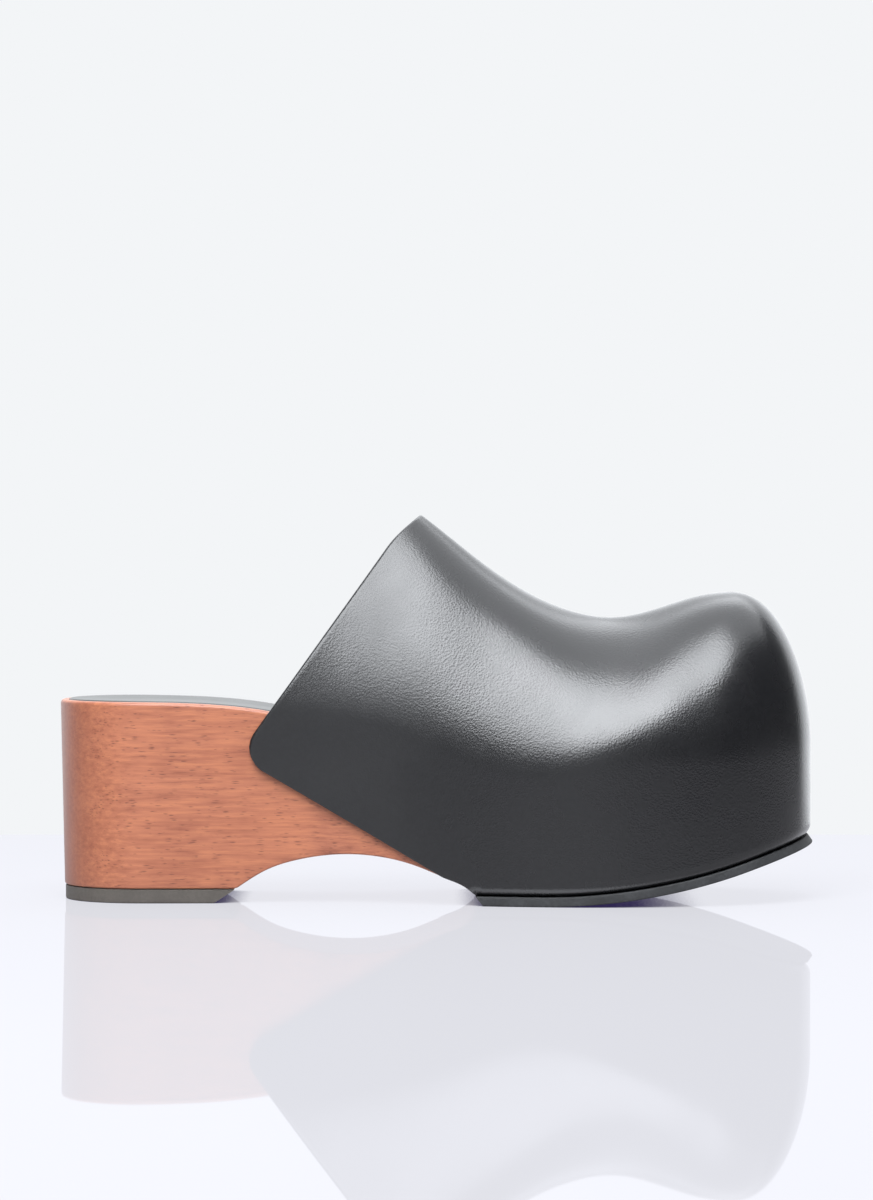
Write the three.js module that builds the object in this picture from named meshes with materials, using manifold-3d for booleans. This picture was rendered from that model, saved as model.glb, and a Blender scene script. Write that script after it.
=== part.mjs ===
// A platform clog for the right foot: a one-piece wooden sole with an arched waist, a black leather
// upper that covers the platform and rises over a round toe, a rubber forefoot outsole, a rubber lift
// under the heel and a leather insole. Millimetres, +Z up, toe towards +X, outer side towards -Y.
// The origin is on the floor, in the middle of the shoe.
import * as THREE from "three";
import { mergeVertices } from "three/addons/utils/BufferGeometryUtils.js";
import Module from "manifold-3d";

const wasm = await Module();
wasm.setup();

// Driving dimensions
const shoeLength = 270; // heel back to outsole tip
const ballWidth = 97; // over the leather
const throatHeight = 137.5; // floor to the peak of the collar
const heelHeight = 71.3; // floor to the wood's rim at the heel
const toeSpring = 20.4; // floor to the outsole's underside at its tip
const archHeight = 17.5; // floor to the top of the arched waist
const leather = 2; // upper and its lining together
const fit = 0.3; // gap between pieces that touch
const outsoleThickness = 3.4;
const liftThickness = 4.9;
const insoleThickness = 2.4;
const insoleProud = 0.4; // how far the insole stands above the wood's rim
const rimWidth = 3; // wood left bare around the insole
const heelTaper = 1.9; // how far the heel draws in from rim to floor, each side
const platformEdgeRadius = 1; // edge of the wood where the leather turns under it
const lastingMargin = 12; // leather turned in under the platform
const outsoleInset = 0.8; // outsole edge inside the leather
const tipOverhang = 0.9; // outsole tip in front of the leather
const outsoleBevel = 2; // how far the outsole's tip leans forward over its thickness
const collarCorner = 9.5; // radius where the collar meets the lower edge
const formDrop = 16; // how far the last's form runs down past the floor under the heel, to be cut flat

// What the leather adds outside the wood
const cover = leather + fit;
const bottomRound = platformEdgeRadius + cover;
const insoleInset = cover + rimWidth;
const heelEnd = -shoeLength / 2 - cover;
const toeEnd = shoeLength / 2 - tipOverhang;

// Plan and crown of the last, a row for each station. at is a share of the shoe's length from the heel,
// lateral and medial are half widths as shares of the ball's, and crown is a share of the throat's height.
// wall is how far up the crown the side stays upright. rise, full and flat shape the shoulder: where it
// starts to lean in, how far it fills out, and how wide the crown lies level.
const stations = [
  { at: -0.02, lateral: 0.345, medial: 0.345, crown: 1.14, wall: 0.5, rise: 0.2, full: 0.82, flat: 0.25 },
  { at: 0.12, lateral: 0.349, medial: 0.349, crown: 1.12, wall: 0.5, rise: 0.2, full: 0.82, flat: 0.2 },
  { at: 0.26, lateral: 0.342, medial: 0.33, crown: 1.095, wall: 0.46, rise: 0.14, full: 0.8, flat: 0.12 },
  { at: 0.37, lateral: 0.35, medial: 0.32, crown: 1.099, wall: 0.436, rise: 0.12, full: 0.696, flat: 0 },
  { at: 0.478, lateral: 0.391, medial: 0.342, crown: 1, wall: 0.413, rise: 0.137, full: 0.755, flat: 0.158 },
  { at: 0.56, lateral: 0.44, medial: 0.39, crown: 0.8745, wall: 0.394, rise: 0.16, full: 0.775, flat: 0.286 },
  { at: 0.63, lateral: 0.477, medial: 0.446, crown: 0.786, wall: 0.4, rise: 0.2, full: 0.769, flat: 0.366 },
  { at: 0.69, lateral: 0.496, medial: 0.484, crown: 0.741, wall: 0.437, rise: 0.275, full: 0.742, flat: 0.3 },
  { at: 0.74, lateral: 0.5, medial: 0.5, crown: 0.731, wall: 0.47, rise: 0.35, full: 0.719, flat: 0.24 },
  { at: 0.8, lateral: 0.494, medial: 0.502, crown: 0.758, wall: 0.466, rise: 0.39, full: 0.709, flat: 0.3 },
  { at: 0.85, lateral: 0.483, medial: 0.497, crown: 0.787, wall: 0.445, rise: 0.36, full: 0.713, flat: 0.412 },
  { at: 0.885, lateral: 0.474, medial: 0.49, crown: 0.796, wall: 0.4325, rise: 0.392, full: 0.732, flat: 0.493 },
  { at: 1.01, lateral: 0.45, medial: 0.47, crown: 0.796, wall: 0.46, rise: 0.46, full: 0.75, flat: 0.54 },
];

// Top of the wood in the middle of the foot, height as a share of the heel's
const footbedRows = [
  { at: -0.02, height: 0.998 },
  { at: 0.13, height: 0.996 },
  { at: 0.28, height: 0.953 },
  { at: 0.39, height: 0.845 },
  { at: 0.5, height: 0.692 },
  { at: 0.6, height: 0.581 },
  { at: 0.7, height: 0.547 },
  { at: 0.81, height: 0.575 },
  { at: 0.93, height: 0.638 },
  { at: 1.02, height: 0.7 },
];

// Underside of the waist from heel to platform, height as a share of the arch's
const archRows = [
  { at: 0.2085, height: 0 },
  { at: 0.241, height: 0.33 },
  { at: 0.273, height: 0.64 },
  { at: 0.315, height: 0.87 },
  { at: 0.378, height: 1 },
  { at: 0.426, height: 0.955 },
  { at: 0.471, height: 0.79 },
  { at: 0.516, height: 0.52 },
  { at: 0.5435, height: 0.3 },
  { at: 0.5605, height: 0 },
];

// Plan of the two ends: length of the rounding and how square it is, 2 being an ellipse
const heelRounding = { reach: 34, square: 2.15 };
const toeRounding = { reach: 51, square: 2.42 };

// The crown line stops short of both ends, and the ribs of each end fan out from there
const heelFan = { inset: 31, blend: 6 };
const toeFan = { inset: 28.5, blend: 8 };

// Where the heel's form gives way to the platform's
const waist = { from: 0.28, to: 0.48 };

// The forefoot lies flat up to the first place, bends upwards up to the second and is straight from there
const springBend = { from: 0.633, to: 0.907 };

// Side view of the collar and the leather's lower edge, in shares of the length and the throat's height
const collarPeak = { at: 0.478, height: 1 };
const collarBend = { at: 0.4345, height: 0.917 };
const collarFoot = { at: 0.2812, height: 0.493 };
const edgeBack = { at: 0.2718, height: 0.342 };
const edgeFront = { at: 0.4919, height: 0.09 };
const peakSlope = 0.82; // of the collar line at its peak

// How finely the curved surfaces are cut
const heelSteps = 8;
const sideSteps = 26;
const toeSteps = 12;
const bottomRows = 3;
const edgeRows = 3;
const wallRows = 3;
const shoulderRows = 13;
const profileSteps = 40;
const cornerSteps = 10;
const wellClear = 60; // how far a cutter reaches past what it cuts

const along = (share) => (share - 0.5) * shoeLength;
const heelShare = (x) => 1 - THREE.MathUtils.smoothstep(x, along(waist.from), along(waist.to));

// Natural cubic spline through one column of a table, smooth in curvature
function spline(rows, column, scale) {
  const x = rows.map((row) => along(row.at));
  const y = rows.map((row) => row[column] * scale);
  const last = x.length - 1;
  const bend = new Array(last + 1).fill(0);
  const work = new Array(last + 1).fill(0);
  for (let i = 1; i < last; i++) {
    const share = (x[i] - x[i - 1]) / (x[i + 1] - x[i - 1]);
    const pivot = share * bend[i - 1] + 2;
    const turn = (y[i + 1] - y[i]) / (x[i + 1] - x[i]) - (y[i] - y[i - 1]) / (x[i] - x[i - 1]);
    bend[i] = (share - 1) / pivot;
    work[i] = ((6 * turn) / (x[i + 1] - x[i - 1]) - share * work[i - 1]) / pivot;
  }
  for (let i = last - 1; i > 0; i--) bend[i] = bend[i] * bend[i + 1] + work[i];
  bend[0] = 0;
  bend[last] = 0;
  return (at) => {
    let i = 0;
    while (i < last - 1 && at > x[i + 1]) i++;
    const span = x[i + 1] - x[i];
    const a = (x[i + 1] - at) / span;
    const b = 1 - a;
    const curve = ((a ** 3 - a) * bend[i] + (b ** 3 - b) * bend[i + 1]) * (span ** 2 / 6);
    return a * y[i] + b * y[i + 1] + curve;
  };
}

const sideWidth = {
  lateral: spline(stations, "lateral", ballWidth),
  medial: spline(stations, "medial", ballWidth),
};
const crown = spline(stations, "crown", throatHeight);
const wall = spline(stations, "wall", 1);
const rise = spline(stations, "rise", 1);
const full = spline(stations, "full", 1);
const flat = spline(stations, "flat", 1);
const footbed = spline(footbedRows, "height", heelHeight);
const arch = spline(archRows, "height", archHeight);

// Height of the outsole's underside
const bendStart = along(springBend.from);
const bendEnd = along(springBend.to);
const tipSlope = toeSpring / (shoeLength / 2 - (bendStart + bendEnd) / 2);
const bent = (x) => THREE.MathUtils.clamp(x, bendStart, bendEnd) - bendStart;
const spring = (x) => tipSlope * (bent(x) ** 2 / (2 * (bendEnd - bendStart)) + Math.max(0, x - bendEnd));

const outsoleTop = (x) => spring(x) + outsoleThickness;

// Underside of the last's form: on the outsole in front, and far enough down under the heel to be cut flat
const formBottom = (x) => outsoleTop(x) + fit - formDrop * heelShare(x);

// The heel draws in towards the floor, and the forefoot doesn't
const taper = (x) => heelTaper * heelShare(x);

// Places along the length, close together where the plan turns, each with how far the end has closed there
function stationPlaces() {
  const places = [];
  const heelStart = heelEnd + heelRounding.reach;
  const toeStart = toeEnd - toeRounding.reach;
  for (let i = 0; i < heelSteps; i++) {
    const turn = (Math.PI / 2) * (1 - i / heelSteps);
    const power = 2 / heelRounding.square;
    const x = heelStart - heelRounding.reach * Math.sin(turn) ** power;
    places.push({ x, open: i ? Math.cos(turn) ** power : 0 });
  }
  for (let i = 0; i <= sideSteps; i++) {
    places.push({ x: THREE.MathUtils.lerp(heelStart, toeStart, i / sideSteps), open: 1 });
  }
  for (let i = 1; i <= toeSteps; i++) {
    const turn = ((Math.PI / 2) * i) / toeSteps;
    const power = 2 / toeRounding.square;
    const x = toeStart + toeRounding.reach * Math.sin(turn) ** power;
    places.push({ x, open: i < toeSteps ? Math.cos(turn) ** power : 0 });
  }
  return places;
}
const places = stationPlaces();

// Where on the crown line the rib of a station ends
function spineAt(x) {
  const toe = toeEnd - toeFan.inset;
  const heel = heelEnd + heelFan.inset;
  const held = x - toeFan.blend * Math.log(1 + Math.exp((x - toe) / toeFan.blend));
  return held + heelFan.blend * Math.log(1 + Math.exp((heel - held) / heelFan.blend));
}

// Quintic curve of the shoulder, from the top of the wall to the crown
function shoulder(x, t) {
  const reach = [1, 1, 1, full(x), flat(x), 0];
  const lift = [0, rise(x) / 2, rise(x), full(x), 1, 1];
  const weight = [1, 5, 10, 10, 5, 1].map((n, i) => n * t ** i * (1 - t) ** (5 - i));
  const sum = (values) => values.reduce((total, value, i) => total + value * weight[i], 0);
  return { out: sum(reach), up: sum(lift) };
}

// One rib: points from the middle of the bottom, round the lower edge, up the wall and over to the crown
function rib(place, side) {
  const sign = side === "lateral" ? -1 : 1;
  const edge = new THREE.Vector2(place.x, sign * sideWidth[side](place.x) * place.open);
  const spine = new THREE.Vector2(spineAt(place.x), 0);
  const reach = edge.distanceTo(spine);
  const foot = reach - taper(place.x);
  const low = formBottom(place.x);
  const top = crown(spine.x);
  const wallTop = wall(place.x) * top;
  const points = [];
  const add = (out, z) => {
    const flatPlace = spine.clone().lerp(edge, out / reach);
    points.push([flatPlace.x, flatPlace.y, z ?? formBottom(flatPlace.x)]);
  };
  for (let i = 0; i < bottomRows; i++) add(((foot - bottomRound) * i) / bottomRows);
  for (let i = 0; i <= edgeRows; i++) {
    const turn = ((Math.PI / 2) * i) / edgeRows;
    add(foot - bottomRound * (1 - Math.sin(turn)), low + bottomRound * (1 - Math.cos(turn)));
  }
  for (let i = 1; i < wallRows; i++) {
    const share = i / wallRows;
    add(THREE.MathUtils.lerp(foot, reach, share), THREE.MathUtils.lerp(low + bottomRound, wallTop, share));
  }
  for (let i = 0; i <= shoulderRows; i++) {
    const { out, up } = shoulder(place.x, i / shoulderRows);
    add(reach * out, wallTop + (top - wallTop) * up);
  }
  return points;
}

// A solid of a closed mesh, its shared corners merged
function solidOf(geometry) {
  const bare = geometry.clone();
  bare.deleteAttribute("normal");
  bare.deleteAttribute("uv");
  const merged = mergeVertices(bare);
  const vertProperties = merged.attributes.position.array;
  const triVerts = new Uint32Array(merged.index.array);
  return new wasm.Manifold(new wasm.Mesh({ numProp: 3, vertProperties, triVerts }));
}

// The whole last with its platform as one closed form, drawn in by an inset square to its surface
function lastForm(inset) {
  const ribs = [
    ...places.map((place) => rib(place, "lateral")),
    ...places.slice(1, -1).reverse().map((place) => rib(place, "medial")),
  ];
  const corners = [];
  for (let i = 0; i < ribs.length; i++) {
    const here = ribs[i];
    const next = ribs[(i + 1) % ribs.length];
    for (let j = 0; j + 1 < here.length; j++) {
      corners.push(here[j], next[j], next[j + 1], here[j], next[j + 1], here[j + 1]);
    }
  }
  const open = new THREE.BufferGeometry();
  open.setAttribute("position", new THREE.Float32BufferAttribute(corners.flat(), 3));
  const skin = mergeVertices(open, 1e-3);
  const faces = [];
  for (let i = 0; i < skin.index.count; i += 3) {
    const [a, b, c] = [0, 1, 2].map((k) => skin.index.getX(i + k));
    if (a !== b && b !== c && c !== a) faces.push(a, b, c);
  }
  skin.setIndex(faces);
  skin.computeVertexNormals();
  const { position, normal } = skin.attributes;
  const point = new THREE.Vector3();
  const outward = new THREE.Vector3();
  for (let i = 0; i < position.count; i++) {
    outward.fromBufferAttribute(normal, i);
    point.fromBufferAttribute(position, i).addScaledVector(outward, -inset);
    position.setXYZ(i, point.x, point.y, point.z);
  }
  return solidOf(skin);
}

// Plan of the shoe at the platform, drawn in by an inset
function planShape(inset) {
  const edge = [
    ...places.map(({ x, open }) => new THREE.Vector2(x, -sideWidth.lateral(x) * open)),
    ...places.slice(1, -1).reverse().map(({ x, open }) => new THREE.Vector2(x, sideWidth.medial(x) * open)),
  ];
  return new THREE.Shape(
    edge.map((point, i) => {
      const before = edge[(i + edge.length - 1) % edge.length];
      const after = edge[(i + 1) % edge.length];
      const way = after.clone().sub(before).normalize();
      return point.clone().add(new THREE.Vector2(-way.y, way.x).multiplyScalar(inset));
    }),
  );
}

// Upright block of a plan, from low to high
function block(shape, low, high) {
  const geometry = new THREE.ExtrudeGeometry(shape, { depth: high - low, bevelEnabled: false });
  return solidOf(geometry.translate(0, 0, low));
}

// Block of a side view, given as [x, z] points, right across the shoe
function across(points) {
  const shape = new THREE.Shape(points.map(([x, z]) => new THREE.Vector2(x, z)));
  const depth = ballWidth + 2 * wellClear;
  const geometry = new THREE.ExtrudeGeometry(shape, { depth, bevelEnabled: false });
  return solidOf(geometry.rotateX(Math.PI / 2).translate(0, depth / 2, 0));
}

// Points of a height line between two places
function line(height, from, to, steps = profileSteps) {
  return Array.from({ length: steps + 1 }, (_, i) => {
    const x = THREE.MathUtils.lerp(from, to, i / steps);
    return [x, height(x)];
  });
}

const farBack = heelEnd - wellClear;
const farFront = toeEnd + wellClear;
const archBack = along(archRows[0].at);
const archFront = along(archRows.at(-1).at);

// Everything under the arched waist
function archTunnel() {
  return across([...line(arch, archBack, archFront), [archFront, -wellClear], [archBack, -wellClear]]);
}

// Everything above a height line, over the whole length
function above(height) {
  const top = throatHeight + wellClear;
  const ends = [[farFront, height(toeEnd)], [farFront, top], [farBack, top], [farBack, height(heelEnd)]];
  return across([...line(height, heelEnd, toeEnd), ...ends]);
}

// Everything behind the middle of the waist
function heelHalf() {
  return across([[farBack, -wellClear], [0, -wellClear], [0, wellClear], [farBack, wellClear]]);
}

// Side view of what the leather covers: the collar, its round corner and the straight lower edge
function leatherSide() {
  const spot = ({ at, height }) => new THREE.Vector2(along(at), height * throatHeight);
  const [peak, bend, foot, back, front] = [collarPeak, collarBend, collarFoot, edgeBack, edgeFront].map(spot);
  const collarWay = bend.clone().sub(foot).normalize();
  const edgeWay = front.clone().sub(back).normalize();
  const beyondPeak = new THREE.Vector2(1, peakSlope).normalize();
  // The sharp corner where both lines would meet
  const apart = back.clone().sub(foot);
  const corner = foot.clone().addScaledVector(collarWay, apart.cross(edgeWay) / collarWay.cross(edgeWay));
  const halfAngle = Math.acos(collarWay.dot(edgeWay)) / 2;
  const tangent = collarCorner / Math.tan(halfAngle);
  const low = corner.clone().addScaledVector(edgeWay, tangent);
  const high = corner.clone().addScaledVector(collarWay, tangent);
  const middle = corner.clone().add(
    collarWay.clone().add(edgeWay).normalize().multiplyScalar(collarCorner / Math.sin(halfAngle)),
  );
  const from = Math.atan2(low.y - middle.y, low.x - middle.x);
  const to = Math.atan2(high.y - middle.y, high.x - middle.x);
  const path = new THREE.Path().moveTo(farFront, -wellClear);
  const past = front.clone().addScaledVector(edgeWay, wellClear);
  path.lineTo(past.x, past.y).lineTo(low.x, low.y);
  path.absarc(middle.x, middle.y, collarCorner, from, to, true);
  path.lineTo(bend.x, bend.y);
  const reach = bend.distanceTo(peak) / 3;
  const leave = bend.clone().addScaledVector(collarWay, reach);
  const arrive = peak.clone().addScaledVector(beyondPeak, -reach);
  path.bezierCurveTo(leave.x, leave.y, arrive.x, arrive.y, peak.x, peak.y);
  path.lineTo(peak.x + 2 * wellClear, peak.y + 2 * wellClear * peakSlope);
  path.lineTo(farFront, peak.y + 2 * wellClear * peakSlope);
  return across(path.getPoints(cornerSteps).map(({ x, y }) => [x, y]));
}

const tunnel = archTunnel();

// One piece of wood: heel, waist and platform, with a shallow recess for the insole
function woodenSole() {
  const heelSole = block(planShape(0), -wellClear, liftThickness + fit).intersect(heelHalf());
  const recessFloor = (x) => footbed(x) + insoleProud - insoleThickness;
  const recess = block(planShape(insoleInset), 0, heelHeight + wellClear).intersect(above(recessFloor));
  // Inside the leather that is turned in under the platform, the wood comes down to the outsole
  const footBottom = line((x) => outsoleTop(x) + fit, 0, shoeLength / 2);
  const footTop = line((x) => outsoleTop(x) + 2 * cover, 0, shoeLength / 2).reverse();
  const footPlan = block(planShape(lastingMargin + fit), 0, heelHeight);
  const foot = footPlan.intersect(across([...footBottom, ...footTop]));
  const body = lastForm(cover).subtract(above(footbed)).subtract(heelSole);
  return body.add(foot).subtract(tunnel).subtract(recess);
}

// The leather shell, turned in under the platform and open below, and at the back
function upper() {
  const opening = block(planShape(lastingMargin), -wellClear, toeSpring + outsoleThickness + lastingMargin);
  const shell = lastForm(0).subtract(lastForm(leather));
  return shell.subtract(opening).intersect(leatherSide()).subtract(tunnel);
}

// Rubber under the platform, curved up at the toe, its tip leaning forward
function forefootOutsole() {
  const tip = shoeLength / 2;
  const under = line(spring, 0, tip);
  const over = line(outsoleTop, 0, tip - outsoleBevel).reverse();
  // The front of the plan is stretched to the tip, and the sides stay inside the leather
  const stretchFrom = toeEnd - toeRounding.reach;
  const stretch = (tip - stretchFrom) / (toeRounding.reach - outsoleInset) - 1;
  const plan = planShape(outsoleInset).getPoints();
  plan.forEach((point) => {
    point.x += Math.max(0, point.x - stretchFrom) * stretch;
  });
  const sheet = across([...under, ...over]);
  return block(new THREE.Shape(plan), -wellClear, wellClear).intersect(sheet).subtract(tunnel);
}

// Rubber under the heel, flush with the wood
function heelLift() {
  return block(planShape(cover + heelTaper), 0, liftThickness).intersect(heelHalf()).subtract(tunnel);
}

// Leather-covered sock in the recess, from the heel to the toe
function insole() {
  const top = (x) => footbed(x) + insoleProud;
  const bottom = (x) => top(x) - insoleThickness + fit;
  const plan = block(planShape(insoleInset + fit), 0, heelHeight + wellClear);
  return plan.intersect(above(bottom)).subtract(above(top));
}

// A named mesh of a solid
function piece(name, solid, finish) {
  const { vertProperties, triVerts } = solid.getMesh();
  const geometry = new THREE.BufferGeometry();
  geometry.setAttribute("position", new THREE.BufferAttribute(new Float32Array(vertProperties), 3));
  geometry.setIndex(new THREE.BufferAttribute(new Uint32Array(triVerts), 1));
  geometry.computeVertexNormals();
  const mesh = new THREE.Mesh(geometry, new THREE.MeshStandardMaterial(finish));
  mesh.name = name;
  return mesh;
}

const clog = new THREE.Group();
clog.add(
  piece("wooden_sole", woodenSole(), { color: "#b5654a", roughness: 0.5, metalness: 0 }),
  piece("upper", upper(), { color: "#1d1d20", roughness: 0.38, metalness: 0 }),
  piece("forefoot_outsole", forefootOutsole(), { color: "#3b3c3d", roughness: 0.75, metalness: 0 }),
  piece("heel_lift", heelLift(), { color: "#6b665f", roughness: 0.8, metalness: 0 }),
  piece("insole", insole(), { color: "#2b2b2d", roughness: 0.45, metalness: 0 }),
);

export default clog;
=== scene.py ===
"""Looks of a platform clog for the right foot: a mahogany sole under a black calf upper.

Metres, +Z up, toe towards +X, outer side towards -Y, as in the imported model.
"""

import math

import bmesh
import bpy
import numpy as np
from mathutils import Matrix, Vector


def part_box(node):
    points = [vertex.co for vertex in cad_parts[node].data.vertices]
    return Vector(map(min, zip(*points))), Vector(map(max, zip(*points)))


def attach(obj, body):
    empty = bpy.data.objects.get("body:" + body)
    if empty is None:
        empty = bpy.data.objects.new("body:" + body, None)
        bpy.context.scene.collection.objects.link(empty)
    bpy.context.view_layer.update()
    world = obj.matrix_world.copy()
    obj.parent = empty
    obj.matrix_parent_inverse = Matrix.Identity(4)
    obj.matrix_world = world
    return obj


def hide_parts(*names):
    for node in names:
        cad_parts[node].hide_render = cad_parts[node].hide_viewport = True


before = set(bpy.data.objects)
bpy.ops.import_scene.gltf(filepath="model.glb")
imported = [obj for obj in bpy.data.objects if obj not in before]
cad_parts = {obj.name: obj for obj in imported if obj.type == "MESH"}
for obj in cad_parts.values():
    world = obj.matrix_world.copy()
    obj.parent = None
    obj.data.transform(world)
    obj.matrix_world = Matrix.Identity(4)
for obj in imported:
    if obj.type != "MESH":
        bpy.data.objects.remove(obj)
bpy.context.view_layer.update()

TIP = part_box("forefoot_outsole")[1].x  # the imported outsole's tip, in front of the shoe's middle
MM = 0.001

bl_info = {
    "name": "Wooden clog",
    "version": (1, 0, 0),
    "blender": (4, 5, 0),
    "location": "3D View > Sidebar > Clog",
    "description": "Builds a wooden platform clog and a small photo studio around it",
    "category": "Add Mesh",
}

# Plan and crown of the last, a row for each station. The first number is a share of the shoe's length from
# the heel, lateral and medial are half widths as shares of the ball's, and crown is a share of the throat's
# height. wall is how far up the crown the side stays upright. rise, full and flat shape the shoulder.
STATION_COLUMNS = ("lateral", "medial", "crown", "wall", "rise", "full", "flat")
STATIONS = (
    (-0.02, 0.345, 0.345, 1.14, 0.5, 0.2, 0.82, 0.25),
    (0.12, 0.349, 0.349, 1.12, 0.5, 0.2, 0.82, 0.2),
    (0.26, 0.342, 0.33, 1.095, 0.46, 0.14, 0.8, 0.12),
    (0.37, 0.35, 0.32, 1.099, 0.436, 0.12, 0.696, 0),
    (0.478, 0.391, 0.342, 1, 0.413, 0.137, 0.755, 0.158),
    (0.56, 0.44, 0.39, 0.8745, 0.394, 0.16, 0.775, 0.286),
    (0.63, 0.477, 0.446, 0.786, 0.4, 0.2, 0.769, 0.366),
    (0.69, 0.496, 0.484, 0.741, 0.437, 0.275, 0.742, 0.3),
    (0.74, 0.5, 0.5, 0.731, 0.47, 0.35, 0.719, 0.24),
    (0.8, 0.494, 0.502, 0.758, 0.466, 0.39, 0.709, 0.3),
    (0.85, 0.483, 0.497, 0.787, 0.445, 0.36, 0.713, 0.412),
    (0.885, 0.474, 0.49, 0.796, 0.4325, 0.392, 0.732, 0.493),
    (1.01, 0.45, 0.47, 0.796, 0.46, 0.46, 0.75, 0.54),
)

# Top of the wood in the middle of the foot, height as a share of the heel's
FOOTBED = (
    *((-0.02, 0.998), (0.13, 0.996), (0.28, 0.953), (0.39, 0.845), (0.5, 0.692)),
    *((0.6, 0.581), (0.7, 0.547), (0.81, 0.575), (0.93, 0.638), (1.02, 0.7)),
)

# Underside of the waist from heel to platform, height as a share of the arch's
ARCH = (
    *((0.2085, 0), (0.241, 0.33), (0.273, 0.64), (0.315, 0.87), (0.378, 1)),
    *((0.426, 0.955), (0.471, 0.79), (0.516, 0.52), (0.5435, 0.3), (0.5605, 0)),
)

# Plan of the two ends: length of the rounding, and how square it is, 2 being an ellipse
HEEL_ROUNDING = (34 * MM, 2.15)
TOE_ROUNDING = (51 * MM, 2.42)

# The crown line stops short of both ends: how far, and how softly
HEEL_FAN = (31 * MM, 6 * MM)
TOE_FAN = (28.5 * MM, 8 * MM)

WAIST = (0.28, 0.48)  # where the heel's form gives way to the platform's
SPRING_BEND = (0.633, 0.907)  # where the forefoot starts to bend upwards, and where it is straight again

# Side view of the collar and the leather's lower edge, in shares of the length and the throat's height
COLLAR_PEAK = (0.478, 1)
COLLAR_BEND = (0.4345, 0.917)
COLLAR_FOOT = (0.2812, 0.493)
EDGE_BACK = (0.2718, 0.342)
EDGE_FRONT = (0.4919, 0.09)
PEAK_SLOPE = 0.82


def length(name, description, default, least, most):
    """Property for a length of the clog, its values in millimetres"""
    return bpy.props.FloatProperty(
        name=name,
        description=description,
        default=default * MM,
        min=least * MM,
        max=most * MM,
        unit="LENGTH",
    )


def shade(name, description, default):
    """Property for the colour of one of the clog's materials, its default a hex value"""
    return bpy.props.FloatVectorProperty(
        name=name, description=description, subtype="COLOR", default=linear(default), min=0, max=1
    )


def linear(colour):
    """Linear colour of an sRGB hex value such as #b5654a"""
    parts = [int(colour[i : i + 2], 16) / 255 for i in (1, 3, 5)]
    return tuple(c / 12.92 if c <= 0.04045 else ((c + 0.055) / 1.055) ** 2.4 for c in parts)


def opaque(colour):
    """Colour of a property or a hex value with full alpha, for a node's socket"""
    return (*(linear(colour) if isinstance(colour, str) else colour), 1)


class ClogSizes(bpy.types.PropertyGroup):
    """Sizes of the clog that a user would change"""

    shoe_length: length(
        "Shoe length", "From the back of the heel to the outsole's tip", 2 * TIP / MM, 200, 350
    )
    ball_width: length("Ball width", "Over the leather at the widest place", 97, 70, 130)
    throat_height: length("Throat height", "From the floor to the peak of the collar", 137.5, 100, 180)
    heel_height: length("Heel height", "From the floor to the wood's rim at the heel", 71.3, 50, 100)
    toe_spring: length("Toe spring", "From the floor to the outsole's underside at its tip", 20.4, 5, 40)
    arch_height: length("Arch height", "From the floor to the top of the arched waist", 17.5, 5, 30)
    leather: length("Leather thickness", "The upper and its lining together", 2, 1, 4)
    outsole: length("Outsole thickness", "Rubber under the platform", 3.4, 2, 8)
    lift: length("Lift thickness", "Rubber under the heel", 4.9, 2, 10)
    insole: length("Insole thickness", "Sock let into the wood", 2.4, 1, 6)
    wood_edge: length("Wood edge radius", "Rounding of the wood's upper rim", 1.3, 0.3, 3)


class ClogColours(bpy.types.PropertyGroup):
    """Colours of the clog that a user would change"""

    leather: shade("Leather", "Dye of the upper", "#0d0d0f")
    wood: shade("Wood", "Body of the sole", "#a36349")
    outsole: shade("Outsole", "Rubber under the platform", "#393a3c")
    lift: shade("Heel lift", "Rubber under the heel", "#5a554f")
    insole: shade("Insole", "Leather on the sock", "#3a3b3a")
    floor: shade("Floor", "Studio table", "#f2f3f8")


def smooth(x, low, high):
    """Share from 0 at low to 1 at high, without corners"""
    t = np.clip((x - low) / (high - low), 0, 1)
    return t * t * (3 - 2 * t)


def spline(x, y):
    """Natural cubic spline through the points, as a function of arrays"""
    x = np.array(x, float)
    y = np.array(y, float)
    n = len(x)
    system = np.eye(n)
    target = np.zeros(n)
    for i in range(1, n - 1):
        before = x[i] - x[i - 1]
        after = x[i + 1] - x[i]
        system[i, i - 1 : i + 2] = (before, 2 * (before + after), after)
        target[i] = 6 * ((y[i + 1] - y[i]) / after - (y[i] - y[i - 1]) / before)
    bend = np.linalg.solve(system, target)

    def curve(at):
        at = np.asarray(at, float)
        i = np.clip(np.searchsorted(x, at, side="left") - 1, 0, n - 2)
        span = x[i + 1] - x[i]
        a = (x[i + 1] - at) / span
        b = 1 - a
        cubic = ((a**3 - a) * bend[i] + (b**3 - b) * bend[i + 1]) * span**2 / 6
        return a * y[i] + b * y[i + 1] + cubic

    return curve


def lengths(points):
    """Length of the line up to each of its points"""
    steps = np.linalg.norm(np.diff(points, axis=0), axis=1)
    return np.concatenate([[0], np.cumsum(steps)])


def spread(points, shares):
    """Points at the given shares of the line's length"""
    points = np.asarray(points, float)
    way = lengths(points)
    at = np.asarray(shares) * way[-1]
    return np.stack([np.interp(at, way, column) for column in points.T], axis=1)


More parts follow.
